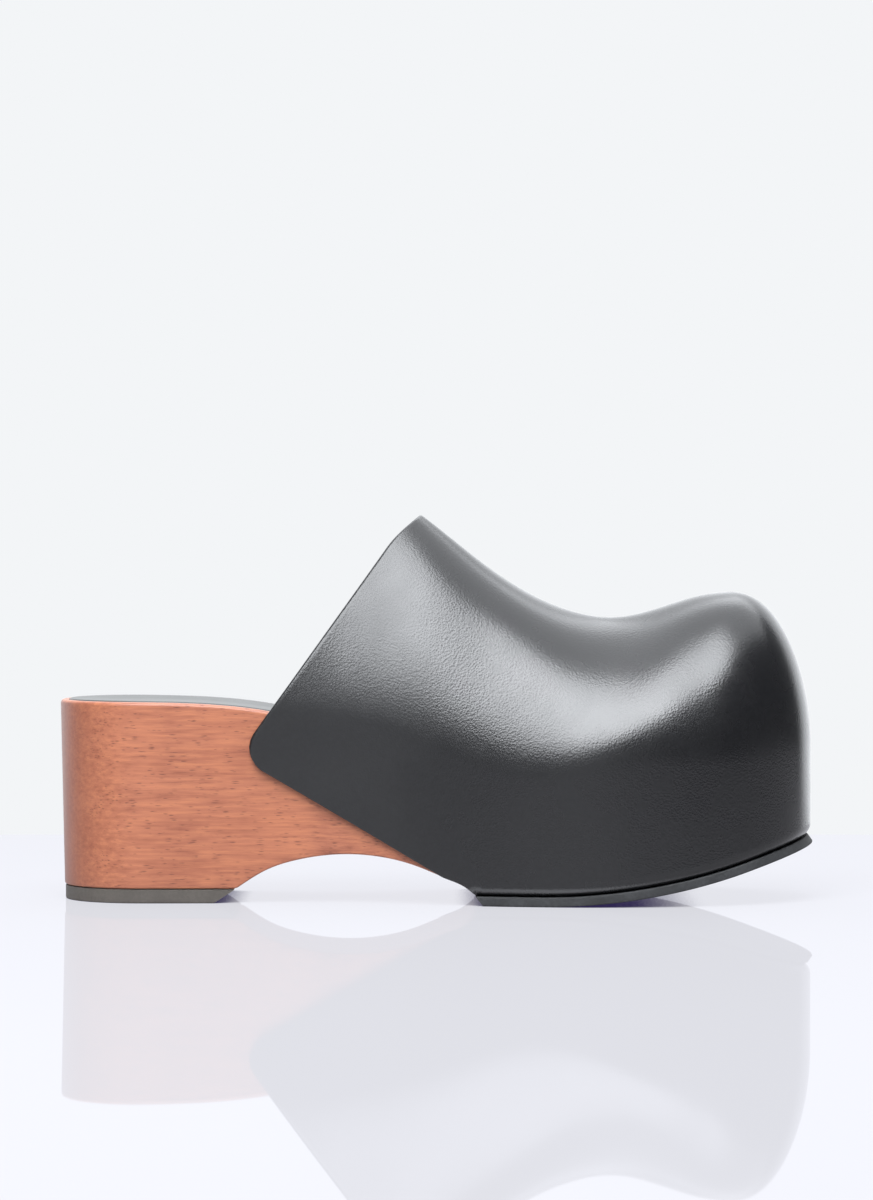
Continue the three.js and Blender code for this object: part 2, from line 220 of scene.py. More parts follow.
class Last:
    """The form that the upper is drawn over, from the heel's back to the toe and from its crown to the sole.

    A place along it is an outline length p, and a place on a rib is a length s from the crown down.
    """

    FIT = 0.3 * MM
    PLATFORM_ROUND = 1 * MM
    LASTING = 12 * MM
    TIP_OVERHANG = 0.9 * MM
    HEEL_TAPER = 1.9 * MM
    FORM_DROP = 16 * MM

    def __init__(self, sizes):
        self.sizes = sizes
        self.cover = sizes.leather + self.FIT
        self.bottom_round = self.PLATFORM_ROUND + self.cover
        self.heel_end = -sizes.shoe_length / 2 - self.cover
        self.toe_end = sizes.shoe_length / 2 - self.TIP_OVERHANG
        at = [self.along(row[0]) for row in STATIONS]
        scale = {"lateral": sizes.ball_width, "medial": sizes.ball_width, "crown": sizes.throat_height}
        for i, name in enumerate(STATION_COLUMNS):
            column = [row[i + 1] * scale.get(name, 1) for row in STATIONS]
            setattr(self, name, spline(at, column))
        self.footbed = spline(*self.line_of(FOOTBED, sizes.heel_height))
        self.arch_rows = self.line_of(ARCH, sizes.arch_height)
        self.arch = spline(*self.arch_rows)
        self.bend = tuple(self.along(share) for share in SPRING_BEND)
        self.tip_slope = sizes.toe_spring / (sizes.shoe_length / 2 - sum(self.bend) / 2)
        self.plan = self.plan_table()

    def along(self, share):
        return (share - 0.5) * self.sizes.shoe_length

    def line_of(self, rows, height):
        return [self.along(row[0]) for row in rows], [row[1] * height for row in rows]

    def heel_share(self, x):
        return 1 - smooth(x, *(self.along(share) for share in WAIST))

    def spring(self, x):
        """Height of the outsole's underside"""
        start, end = self.bend
        bent = np.clip(x, start, end) - start
        return self.tip_slope * (bent**2 / (2 * (end - start)) + np.maximum(0, x - end))

    def outsole_top(self, x):
        return self.spring(x) + self.sizes.outsole

    def bottom(self, x):
        return self.outsole_top(x) + self.FIT - self.FORM_DROP * self.heel_share(x)

    def tunnel(self, x):
        """Height of the arched waist's underside, far below the floor where there is no arch"""
        back, front = self.arch_rows[0][0], self.arch_rows[0][-1]
        return np.where((x > back) & (x < front), self.arch(np.clip(x, back, front)), -1.0)

    def plan_table(self):
        """Closely spaced places on the outline: its length on the outer side, x, and how far it has closed"""
        reach, square = HEEL_ROUNDING
        turn = np.linspace(math.pi / 2, 0, 300)
        start = self.heel_end + reach
        heel = np.stack([start - reach * np.sin(turn) ** (2 / square), np.cos(turn) ** (2 / square)])
        reach, square = TOE_ROUNDING
        turn = np.linspace(0, math.pi / 2, 400)
        end = self.toe_end - reach
        toe = np.stack([end + reach * np.sin(turn) ** (2 / square), np.cos(turn) ** (2 / square)])
        side = np.linspace(start, end, 300)[1:-1]
        x, opened = np.hstack([heel, np.stack([side, np.ones_like(side)]), toe])
        opened[0] = 0
        opened[-1] = 0
        edge = np.stack([x, self.lateral(x) * opened], axis=1)
        return lengths(edge), x, opened

    def x_of(self, p):
        return np.interp(p, self.plan[0], self.plan[1])

    def p_of(self, x):
        return np.interp(x, self.plan[1], self.plan[0])

    def end(self):
        return self.plan[0][-1]

    def edge(self, p, side):
        """Outline point of a station, and where on the crown line its rib ends"""
        x = self.x_of(p)
        width = self.lateral(x) if side < 0 else self.medial(x)
        y = side * width * np.interp(p, self.plan[0], self.plan[2])
        toe = self.toe_end - TOE_FAN[0]
        heel = self.heel_end + HEEL_FAN[0]
        held = x - TOE_FAN[1] * np.log1p(np.exp((x - toe) / TOE_FAN[1]))
        spine = held + HEEL_FAN[1] * np.log1p(np.exp((heel - held) / HEEL_FAN[1]))
        return x, y, spine

    def rib(self, p, side, stage):
        """Points of ribs. stage runs from 0 at the crown to 1 at the wall, 2 at the bottom's rounding,
        3 where it lies level and 4 at the edge of the leather that is turned in."""
        x, y, spine = self.edge(p, side)
        reach = np.hypot(x - spine, y)
        foot = reach - self.HEEL_TAPER * self.heel_share(x)
        top = self.crown(spine)
        wall_top = self.wall(x) * top
        low = self.bottom(x) + self.bottom_round
        t = 1 - np.clip(stage, 0, 1)
        full = self.full(x)
        rise = self.rise(x)
        outs = (1, 1, 1, full, self.flat(x), 0)
        ups = (0, rise / 2, rise, full, 1, 1)
        weights = [n * t**i * (1 - t) ** (5 - i) for i, n in enumerate((1, 5, 10, 10, 5, 1))]
        out = reach * sum(w * v for w, v in zip(weights, outs))
        z = wall_top + (top - wall_top) * sum(w * v for w, v in zip(weights, ups))
        down = np.clip(stage - 1, 0, 1)
        out = np.where(stage > 1, reach + (foot - reach) * down, out)
        z = np.where(stage > 1, wall_top + (low - wall_top) * down, z)
        turn = np.clip(stage - 2, 0, 1) * math.pi / 2
        out = np.where(stage > 2, foot - self.bottom_round * (1 - np.cos(turn)), out)
        tucked = np.clip(stage - 3, 0, 1)
        out = np.where(stage > 3, out - (self.LASTING - self.bottom_round) * tucked, out)
        share = out / reach
        px = spine + (x - spine) * share
        under = self.bottom(px) + self.bottom_round * (1 - np.sin(turn))
        z = np.where(stage > 2, under, z)
        return np.stack([px, y * share, z], axis=-1)

    def rib_table(self, p, side, steps=(120, 16, 16, 8)):
        """Closely spaced stages of ribs with their lengths from the crown and points, one row for each p"""
        stages = [i + np.linspace(0, 1, n, endpoint=False) for i, n in enumerate(steps)]
        stage = np.append(np.concatenate(stages), 4.0)
        points = self.rib(np.asarray(p, float)[:, None], side, stage[None, :])
        way = np.linalg.norm(np.diff(points, axis=1), axis=2)
        way = np.hstack([np.zeros((len(p), 1)), np.cumsum(way, axis=1)])
        return stage, way, points

    def surface(self, p, s, side):
        """Points at outline lengths p and rib lengths s"""
        p = np.asarray(p, float)
        stages = np.empty_like(p)
        for begin in range(0, len(p), 2000):
            part = slice(begin, begin + 2000)
            stage, way, _ = self.rib_table(p[part], side)
            stages[part] = [np.interp(v, row, stage) for v, row in zip(s[part], way)]
        return self.rib(p, side, stages)

    def length_at(self, p, z, side):
        """Rib lengths where ribs come down to heights z"""
        steps = (900, 40, 40, 8)
        falling = sum(steps[:3]) + 1
        _, way, points = self.rib_table(p, side, steps)
        found = [
            np.interp(-height, -line[:falling, 2], row[:falling])
            for height, row, line in zip(z, way, points)
        ]
        return np.array(found)

    def loop(self, inset, count=170):
        """Closed outline drawn in by an inset, the outer side first, from the heel to the toe and back.
        Each side has as many points, and both ends' points are shared."""
        shares = np.linspace(0, 1, count)
        p = shares * self.end()
        x, outer, _ = self.edge(p, -1)
        inner = self.edge(p, 1)[1]
        points = np.vstack([np.stack([x, outer], 1), np.stack([x, inner], 1)[-2:0:-1]])
        way = np.roll(points, -1, 0) - np.roll(points, 1, 0)
        way /= np.linalg.norm(way, axis=1)[:, None]
        return points + np.stack([-way[:, 1], way[:, 0]], 1) * np.reshape(inset, (-1, 1))


def new_piece(name, points, faces, materials, slots=None, crease=50):
    """Mesh object with its materials. Edges sharper than crease degrees stay sharp."""
    mesh = bpy.data.meshes.new(name)
    mesh.from_pydata([tuple(p) for p in points], [], [tuple(f) for f in faces])
    for material in materials:
        mesh.materials.append(material)
    if slots is not None:
        mesh.polygons.foreach_set("material_index", slots)
    tidy = bmesh.new()
    tidy.from_mesh(mesh)
    bmesh.ops.remove_doubles(tidy, verts=tidy.verts, dist=0.004 * MM)
    bmesh.ops.dissolve_degenerate(tidy, edges=tidy.edges, dist=0.002 * MM)
    bmesh.ops.recalc_face_normals(tidy, faces=tidy.faces)
    tidy.to_mesh(mesh)
    tidy.free()
    mesh.shade_smooth()
    mesh.set_sharp_from_angle(angle=math.radians(crease))
    piece = bpy.data.objects.new(name, mesh)
    bpy.context.scene.collection.objects.link(piece)
    return piece


def ring_faces(rings, size):
    """Faces between closed rings of equal size that follow each other"""
    faces = []
    for k in range(rings - 1):
        for i in range(size):
            j = (i + 1) % size
            faces.append((k * size + i, k * size + j, (k + 1) * size + j, (k + 1) * size + i))
    return faces


def lid_faces(begin, size):
    """Faces right across a ring whose first half runs along one side and whose second half comes back"""
    half = size // 2
    faces = [(begin, begin + 1, begin + size - 1)]
    for i in range(1, half - 1):
        faces.append((begin + i, begin + i + 1, begin + size - i - 1, begin + size - i))
    faces.append((begin + half - 1, begin + half, begin + half + 1))
    return faces


def seat(piece, node):
    """Lets a piece ride on the clog in place of a CAD node"""
    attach(piece, "root")
    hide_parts(node)


def add_node(tree, kind, inputs=None, out=0, **settings):
    """Adds a shader node with its settings, and its inputs set or linked. Returns the output to link on."""
    node = tree.nodes.new("ShaderNode" + kind)
    for name, value in settings.items():
        setattr(node, name, value)
    for name, value in (inputs or {}).items():
        if isinstance(value, bpy.types.NodeSocket):
            tree.links.new(value, node.inputs[name])
        else:
            node.inputs[name].default_value = value
    return node.outputs[out] if node.outputs else None


def new_material(name):
    """Empty material, and its node tree"""
    material = bpy.data.materials.new(name)
    material.use_nodes = True
    material.node_tree.nodes.clear()
    return material, material.node_tree


def surfaced(material, look):
    """The material, with its surface given by one principled shader"""
    tree = material.node_tree
    add_node(tree, "OutputMaterial", {"Surface": add_node(tree, "BsdfPrincipled", look)})
    return material


def per(size):
    """Texture scale that gives a pattern of this size in millimetres"""
    return 1 / (size * MM)


# Places of the sockets of a colour mix: its share, its two colours and its result
SHARE, FIRST, SECOND, MIXED = 0, 6, 7, 2


def smooth_calf(colour):
    """Full-grain calf, vegetable-dyed black, plated smooth and waxed.

    The eye sees a deep black with a broad soft gleam, whose border breaks up in the fine pores of the grain.
    """
    material, tree = new_material("smooth_black_calf")
    place = add_node(tree, "TexCoord", out="Object")
    # Pores and grain cells of calf are 0.2 to 0.5 mm wide. They are drawn at 0.75 mm to show at this size.
    cells = add_node(tree, "TexVoronoi", {"Vector": place, "Scale": per(0.75)}, feature="F1")
    fine = add_node(tree, "TexNoise", {"Vector": place, "Scale": per(1.6), "Detail": 1.0})
    # Slow swells where the hide was stretched over the last
    swell = add_node(tree, "TexNoise", {"Vector": place, "Scale": per(14), "Detail": 2.0})
    relief = add_node(tree, "Bump", {"Strength": 0.3, "Distance": 0.12 * MM, "Height": cells})
    relief = add_node(
        tree, "Bump", {"Strength": 0.12, "Distance": 0.4 * MM, "Height": swell, "Normal": relief}
    )
    # The hide is polished less towards the collar, where the foot goes in
    along = add_node(tree, "SeparateXYZ", {"Vector": place})
    dull = add_node(
        tree,
        "MapRange",
        {"Value": along, "From Min": 12 * MM, "From Max": -30 * MM, "To Max": 0.14},
        interpolation_type="SMOOTHSTEP",
    )
    polish = add_node(
        tree, "MapRange", {"Value": swell, "From Min": 0.3, "From Max": 0.7, "To Min": 0.24, "To Max": 0.3}
    )
    roughness = add_node(tree, "Math", {0: polish, 1: dull}, operation="ADD")
    dyes = {SHARE: fine, FIRST: opaque(colour), SECOND: opaque("#171719")}
    look = {
        "Base Color": add_node(tree, "Mix", dyes, out=MIXED, data_type="RGBA"),
        "Roughness": roughness,
        "IOR": 1.5,
        "Coat Weight": 0.3,
        "Coat Roughness": 0.18,
        "Coat IOR": 1.5,
        "Normal": relief,
        "Coat Normal": relief,
    }
    return surfaced(material, look)


def lining_leather():
    """Pigskin lining, drum-dyed dark and left matt. Its pores sit in small groups."""
    material, tree = new_material("matt_lining_pigskin")
    place = add_node(tree, "TexCoord", out="Object")
    pores = add_node(tree, "TexVoronoi", {"Vector": place, "Scale": per(1.6)}, feature="F1")
    fine = add_node(
        tree, "TexNoise", {"Vector": place, "Scale": per(2.5), "Detail": 4.0, "Roughness": 0.6}
    )
    spots = add_node(tree, "MapRange", {"Value": pores, "From Max": 0.25})
    dyes = {SHARE: fine, FIRST: opaque("#2c2a29"), SECOND: opaque("#3a3735")}
    look = {
        "Base Color": add_node(tree, "Mix", dyes, out=MIXED, data_type="RGBA"),
        "Roughness": 0.68,
        "IOR": 1.45,
        "Normal": add_node(tree, "Bump", {"Strength": 0.5, "Distance": 0.2 * MM, "Height": spots}),
    }
    return surfaced(material, look)


def edge_dressing():
    """Cut edge of calf, inked black and burnished. It has a low waxy gleam over faint fibres."""
    material, tree = new_material("burnished_edge_ink")
    place = add_node(tree, "TexCoord", out="Object")
    fibres = add_node(
        tree, "TexNoise", {"Vector": place, "Scale": per(0.8), "Detail": 3.0, "Roughness": 0.7}
    )
    inks = {SHARE: fibres, FIRST: opaque("#19191a"), SECOND: opaque("#303031")}
    look = {
        "Base Color": add_node(tree, "Mix", inks, out=MIXED, data_type="RGBA"),
        "Roughness": 0.45,
        "IOR": 1.48,
        "Normal": add_node(tree, "Bump", {"Strength": 0.4, "Distance": 0.1 * MM, "Height": fibres}),
    }
    return surfaced(material, look)


def mahogany(colour):
    """Mahogany, planed and sanded, under a thin satin lacquer.

    The eye sees a warm reddish brown with slow bands, fine fibres along the sole, short dark pores and a
    darker end grain at the heel's back.
    """
    material, tree = new_material("satin_mahogany")
    place = add_node(tree, "TexCoord", out="Object")
    # Fibres run along X: every pattern is drawn out that way
    along = {"Vector": place, "Scale": (0.07, 1.0, 1.0), "Rotation": (0.0, 0.03, 0.0)}
    along = add_node(tree, "Mapping", along)
    bands = add_node(
        tree,
        "TexNoise",
        {"Vector": along, "Scale": per(9), "Detail": 3.0, "Roughness": 0.55, "Distortion": 0.4},
    )
    bands = add_node(tree, "MapRange", {"Value": bands, "From Min": 0.32, "From Max": 0.68})
    fibres = add_node(
        tree, "TexNoise", {"Vector": along, "Scale": per(1.2), "Detail": 4.0, "Roughness": 0.65}
    )
    # Cross figure: soft bands that stand across the grain, about 14 mm apart
    across = add_node(tree, "Mapping", {"Vector": place, "Scale": (1.0, 0.5, 0.22)})
    figure = add_node(tree, "TexNoise", {"Vector": across, "Scale": per(12), "Detail": 2.0})
    # Pores are 0.1 to 0.2 mm wide and a few millimetres long. They are drawn up to 0.7 mm wide to show.
    pore_way = {"Vector": place, "Scale": (0.18, 1.0, 1.0), "Rotation": (0.0, 0.02, 0.0)}
    pore_way = add_node(tree, "Mapping", pore_way)
    cells = add_node(tree, "TexVoronoi", {"Vector": pore_way, "Scale": per(0.8)}, feature="F1")
    patch = add_node(tree, "TexNoise", {"Vector": place, "Scale": per(5), "Detail": 2.0, "Roughness": 0.6})
    pore_size = add_node(
        tree, "MapRange", {"Value": patch, "From Min": 0.4, "From Max": 0.62, "To Min": 0.1, "To Max": 0.42}
    )
    pores = {"Value": cells, "From Max": pore_size, "To Min": 1.0, "To Max": 0.0}
    pores = add_node(tree, "MapRange", pores)
    # End grain drinks more lacquer and turns darker. It shows where the surface faces along the fibres.
    facing = add_node(tree, "NewGeometry", out="Normal")
    facing = add_node(tree, "SeparateXYZ", {"Vector": facing})
    end_grain = add_node(tree, "Math", {0: facing, 1: facing}, operation="MULTIPLY")
    end_grain = add_node(tree, "MapRange", {"Value": end_grain, "From Min": 0.2, "To Max": 0.75})
    # On the end grain the pores are filled and hardly show
    filled = {"Value": end_grain, "From Max": 0.3, "To Min": 0.8, "To Max": 0.15}
    filled = add_node(tree, "MapRange", filled)
    # Each layer of colour: where it lies, the range in which it fades in, how much of it shows, its colour
    body = {SHARE: bands, FIRST: opaque("#8e5039"), SECOND: opaque(colour)}
    body = add_node(tree, "Mix", body, out=MIXED, data_type="RGBA")
    layers = (
        (fibres, 0.48, 0.66, 0.0, 0.6, "#bd7852"),
        (fibres, 0.46, 0.32, 0.0, 0.7, "#743c2a"),
        (figure, 0.36, 0.68, 0.08, 0.34, "#bb7452"),
    )
    for pattern, begin, end, least, most, tone in layers:
        share = {"Value": pattern, "From Min": begin, "From Max": end, "To Min": least, "To Max": most}
        layer = {SHARE: add_node(tree, "MapRange", share), FIRST: body, SECOND: opaque(tone)}
        body = add_node(tree, "Mix", layer, out=MIXED, data_type="RGBA")
    pore_depth = add_node(tree, "Math", {0: pores, 1: filled}, operation="MULTIPLY")
    for share, tone in ((end_grain, "#743c2b"), (pore_depth, "#4a231a")):
        layer = {SHARE: share, FIRST: body, SECOND: opaque(tone)}
        body = add_node(tree, "Mix", layer, out=MIXED, data_type="RGBA")
    height = add_node(tree, "Math", {0: fibres, 1: pores}, operation="SUBTRACT")
    look = {
        "Base Color": body,
        "Roughness": 0.48,
        "IOR": 1.5,
        "Coat Weight": 0.2,
        "Coat Roughness": 0.35,
        "Coat IOR": 1.5,
        "Normal": add_node(tree, "Bump", {"Strength": 0.35, "Distance": 0.15 * MM, "Height": height}),
    }
    return surfaced(material, look)


def moulded_rubber(name, colour, darker):
    """Natural rubber sheet, moulded and trimmed. It is dull, with fine specks and a slightly uneven skin."""
    material, tree = new_material(name)
    place = add_node(tree, "TexCoord", out="Object")
    specks = add_node(
        tree, "TexNoise", {"Vector": place, "Scale": per(1.1), "Detail": 4.0, "Roughness": 0.7}
    )
    patches = add_node(tree, "TexNoise", {"Vector": place, "Scale": per(9), "Detail": 2.0})
    mixed = add_node(tree, "Math", {0: specks, 1: patches}, operation="MULTIPLY")
    share = add_node(tree, "MapRange", {"Value": mixed, "From Min": 0.12, "From Max": 0.4})
    tones = {SHARE: share, FIRST: opaque(darker), SECOND: opaque(colour)}
    look = {
        "Base Color": add_node(tree, "Mix", tones, out=MIXED, data_type="RGBA"),
        "Roughness": 0.72,
        "IOR": 1.5,
        "Normal": add_node(tree, "Bump", {"Strength": 0.5, "Distance": 0.15 * MM, "Height": specks}),
    }
    return surfaced(material, look)


def sock_leather(colour):
    """Glazed sheepskin over a thin foam. It is dark from above and turns pale grey at a flat angle."""
    material, tree = new_material("glazed_sock_sheepskin")
    place = add_node(tree, "TexCoord", out="Object")
    cells = add_node(tree, "TexVoronoi", {"Vector": place, "Scale": per(0.9)}, feature="SMOOTH_F1")
    soft = add_node(tree, "TexNoise", {"Vector": place, "Scale": per(12), "Detail": 3.0})
    dyes = {SHARE: soft, FIRST: opaque(colour), SECOND: opaque("#4b4c4a")}
    look = {
        "Base Color": add_node(tree, "Mix", dyes, out=MIXED, data_type="RGBA"),
        "Roughness": 0.42,
        "IOR": 1.5,
        "Normal": add_node(tree, "Bump", {"Strength": 0.3, "Distance": 0.12 * MM, "Height": cells}),
    }
    return surfaced(material, look)


def moved_left(points, far):
    """Points of a line, moved to the left of its way"""
    way = np.gradient(points, axis=0)
    way /= np.linalg.norm(way, axis=1)[:, None]
    return points + np.stack([-way[:, 1], way[:, 0]], 1) * far


def cut_line(last, collar_round, edge_round):
    """Side view of the leather's cut edge, from the arch's front end back along the lower edge and up the
    collar to its peak, less the edge's own rounding. Returns its points and where the collar starts."""
    sizes = last.sizes

    def spot(share):
        return np.array([last.along(share[0]), share[1] * sizes.throat_height])

    peak, bend, foot = spot(COLLAR_PEAK), spot(COLLAR_BEND), spot(COLLAR_FOOT)
    back, front = spot(EDGE_BACK), spot(EDGE_FRONT)
    collar_way = (bend - foot) / np.linalg.norm(bend - foot)
    edge_way = (front - back) / np.linalg.norm(front - back)
    apart = back - foot
    cross = collar_way[0] * edge_way[1] - collar_way[1] * edge_way[0]
    corner = foot + collar_way * (apart[0] * edge_way[1] - apart[1] * edge_way[0]) / cross
    half = math.acos(collar_way @ edge_way) / 2
    radius = 9.5 * MM
    tangent = radius / math.tan(half)
    middle_way = (collar_way + edge_way) / np.linalg.norm(collar_way + edge_way)
    middle = corner + middle_way * radius / math.sin(half)
    low = corner + edge_way * tangent
    high = corner + collar_way * tangent
    # The lower edge, down the straight part and then along the arch
    x = np.linspace(last.arch_rows[0][-1], low[0], 400)
    straight = low[1] + (x - low[0]) * edge_way[1] / edge_way[0]
    z = np.maximum(straight, last.tunnel(x))
    level = last.bottom(x) + 0.02 * MM
    first = np.argmax(z > level)
    lower = np.stack([x[first:], z[first:]], axis=1)
    start = math.atan2(low[1] - middle[1], low[0] - middle[0]) % (2 * math.pi)
    stop = math.atan2(high[1] - middle[1], high[0] - middle[0]) % (2 * math.pi)
    turn = np.linspace(start, stop, 60)[1:]
    arc = middle + radius * np.stack([np.cos(turn), np.sin(turn)], axis=1)
    straight_collar = high + (bend - high) * np.linspace(0, 1, 200)[1:, None]
    # A curve with two handles leads to the peak, and a little past it
    reach = np.linalg.norm(peak - bend) / 3
    leave = bend + collar_way * reach
    arrive = peak - np.array([1, PEAK_SLOPE]) / math.hypot(1, PEAK_SLOPE) * reach
    t = np.linspace(0, 1.15, 240)[1:, None]
    u = 1 - t
    curve = u**3 * bend + 3 * u**2 * t * leave + 3 * u * t**2 * arrive + t**3 * peak
    points = np.vstack([lower, arc, straight_collar, curve])
    share = np.clip((np.arange(len(points)) - len(lower)) / (len(arc) - 1), 0, 1)
    rounding = edge_round + (collar_round - edge_round) * smooth(share, 0, 1)
    trimmed = moved_left(points, -rounding[:, None])
    # The collar ends where it meets the crown
    past = trimmed[:, 1] - last.crown(trimmed[:, 0])
    over = np.argmax((past > 0) & (np.arange(len(past)) > len(lower) + len(arc)))
    a = past[over - 1] / (past[over - 1] - past[over])
    meeting = trimmed[over - 1] + (trimmed[over] - trimmed[over - 1]) * a
    trimmed = np.vstack([trimmed[:over], meeting])
    return trimmed, len(lower) + len(arc) // 2


COLUMNS = 190  # of the upper's surface, from the collar to the toe
ROWS = 84  # from the lower edge to the crown


def upper_sheet(last, side, trimmed, corner):
    """Grid of points on one side of the upper's outer surface, its rows running forward from the collar"""
    p = last.p_of(trimmed[:, 0])
    s = last.length_at(p, trimmed[:, 1], side)
    s[-1] = 0
    line = np.stack([p, s], axis=1)
    lower = line[corner::-1]
    collar = line[corner:]
    # Rows lie closer where the leather turns under the platform
    v = np.concatenate([np.linspace(0, 0.07, 5)[:-1], np.linspace(0.07, 0.16, 11)[:-1]])
    v = np.concatenate([v, np.linspace(0.16, 1, ROWS - len(v) + 1)])
    u = np.linspace(0, 1, COLUMNS + 1)
    end = last.end()
    _, way, _ = last.rib_table(np.linspace(lower[-1, 0], end, 300), side)
    total = way[:, -1]
    lip = np.stack([np.linspace(lower[-1, 0], end, 300), total], axis=1)
    across = np.stack([np.full(12, lip[0, 0]), np.linspace(lower[-1, 1], total[0], 12)], axis=1)
    bottom = spread(np.vstack([lower, across[1:], lip[1:]]), u)
    left = spread(collar, v)
    right = np.stack([np.full(len(v), end), total[-1] * (1 - v)], axis=1)
    crown_p = collar[-1, 0] + (end - collar[-1, 0]) * u
    top = np.stack([crown_p, np.zeros_like(u)], axis=1)
    uu = u[None, :, None]
    vv = v[:, None, None]
    grid = (1 - vv) * bottom[None] + vv * top[None] + (1 - uu) * left[:, None] + uu * right[:, None]
    grid -= (1 - uu) * (1 - vv) * bottom[0] + uu * (1 - vv) * bottom[-1]
    grid -= (1 - uu) * vv * top[0] + uu * vv * top[-1]
    flat = grid.reshape(-1, 2)
    points = last.surface(flat[:, 0], np.maximum(flat[:, 1], 0), side)
    return points.reshape(len(v), len(u), 3)


class CLOG_OT_upper(bpy.types.Operator):
    """Build the leather upper: one hollow shell with a folded collar and an open underside"""

    bl_idname = "clog.make_upper"
    bl_label = "Leather upper"

    def execute(self, context):
        sizes = context.scene.clog_sizes
        last = Last(sizes)
        collar_round = sizes.leather / 2
        edge_round = 0.35 * MM
        trimmed, corner = cut_line(last, collar_round, edge_round)
        sheet = bmesh.new()
        for side in (-1, 1):
            grid = upper_sheet(last, side, trimmed, corner)
            grid = [[sheet.verts.new(p) for p in row] for row in grid]
            for low, high in zip(grid, grid[1:]):
                for i in range(COLUMNS):
                    face = [low[i], low[i + 1], high[i + 1], high[i]]
                    sheet.faces.new(face if side < 0 else face[::-1])
        bmesh.ops.remove_doubles(sheet, verts=sheet.verts, dist=0.004 * MM)
        bmesh.ops.dissolve_degenerate(sheet, edges=sheet.edges, dist=0.002 * MM)
        sheet.normal_update()
        sheet.verts.index_update()
        points = np.array([v.co for v in sheet.verts])
        normals = np.array([v.normal for v in sheet.verts])
        faces = [[v.index for v in f.verts] for f in sheet.faces]
        rim = boundary_loop(sheet)
        sheet.free()
        count = len(points)
        all_points = [points, points - normals * sizes.leather]
        all_faces = faces + [[i + count for i in f[::-1]] for f in faces]
        slots = [0] * len(faces) + [1] * len(faces)
        # The rim's cross section: rounded at both corners, fully round at the collar
        edge = points[rim]
        up = normals[rim]
        way = np.roll(edge, -1, 0) - np.roll(edge, 1, 0)
        way /= np.linalg.norm(way, axis=1)[:, None]
        outward = np.cross(way, up)
        outward /= np.linalg.norm(outward, axis=1)[:, None]
        at_collar = collar_share(edge, trimmed, corner)
        rounding = (edge_round + (collar_round - edge_round) * at_collar)[:, None]
        section = [(rounding * (1 - a), rounding * b) for a, b in quarter(5)[1:]]
        section += [(rounding * (1 - b), sizes.leather - rounding * a) for a, b in quarter(5)[:-1]]
        ring_indices = [list(rim)]
        start = 2 * count
        for out, down in section:
            all_points.append(edge + outward * out - up * down)
            ring_indices.append(list(range(start, start + len(rim))))
            start += len(rim)
        ring_indices.append([i + count for i in rim])
        for before, after in zip(ring_indices, ring_indices[1:]):
            for i in range(len(rim)):
                j = (i + 1) % len(rim)
                all_faces.append([before[i], before[j], after[j], after[i]])
                slots.append(0 if at_collar[i] > 0.5 else 2)
        colours = context.scene.clog_colours
        materials = [smooth_calf(colours.leather), lining_leather(), edge_dressing()]
        piece = new_piece("leather_upper", np.vstack(all_points), all_faces, materials, slots, crease=60)
        seat(piece, "upper")
        return {"FINISHED"}


def boundary_loop(sheet):
    """Vertex numbers round the open edge of a mesh, the surface on the left"""
    following = {}
    for edge in sheet.edges:
        if len(edge.link_loops) == 1:
            loop = edge.link_loops[0]
            following[loop.vert.index] = loop.link_loop_next.vert.index
    first = next(iter(following))
    order = [first]
    while following[order[-1]] != first:
        order.append(following[order[-1]])
        if len(order) > len(following):
            raise RuntimeError("the upper's open edge isn't one loop")
    if len(order) != len(following):
        raise RuntimeError("the upper has more than one open edge")
    return np.array(order)


def collar_share(edge, trimmed, corner):
    """1 on the collar, 0 on the lower edges, and a soft change round the corner between them"""
    x, z = trimmed[corner]
    middle = edge[:, 2] - z
    behind = edge[:, 0] < trimmed[-1, 0] + 1 * MM
    return np.where(behind, smooth(middle, -4 * MM, 4 * MM), 0.0)


def quarter(count):
    """Steps of an edge's rounding, as shares of its radius: one falls from 1 to 0 while the other rises"""
    turns = np.linspace(0, math.pi / 2, count)
    return list(zip(1 - np.sin(turns), 1 - np.cos(turns)))


def closed_piece(name, rings, cap, material):
    """Solid piece between rings with their heights. cap gives the faces right across the first and last."""
    size = len(rings[0][0])
    faces = ring_faces(len(rings), size)
    faces += [face[::-1] for face in cap(0, size)]
    faces += cap((len(rings) - 1) * size, size)
    points = np.vstack([np.column_stack(ring) for ring in rings])
    return new_piece(name, points, faces, [material], crease=40)


BARE_RIM = 3 * MM  # wood that shows round the insole
SOCK_PROUD = 0.4 * MM  # how far the insole stands above the wood


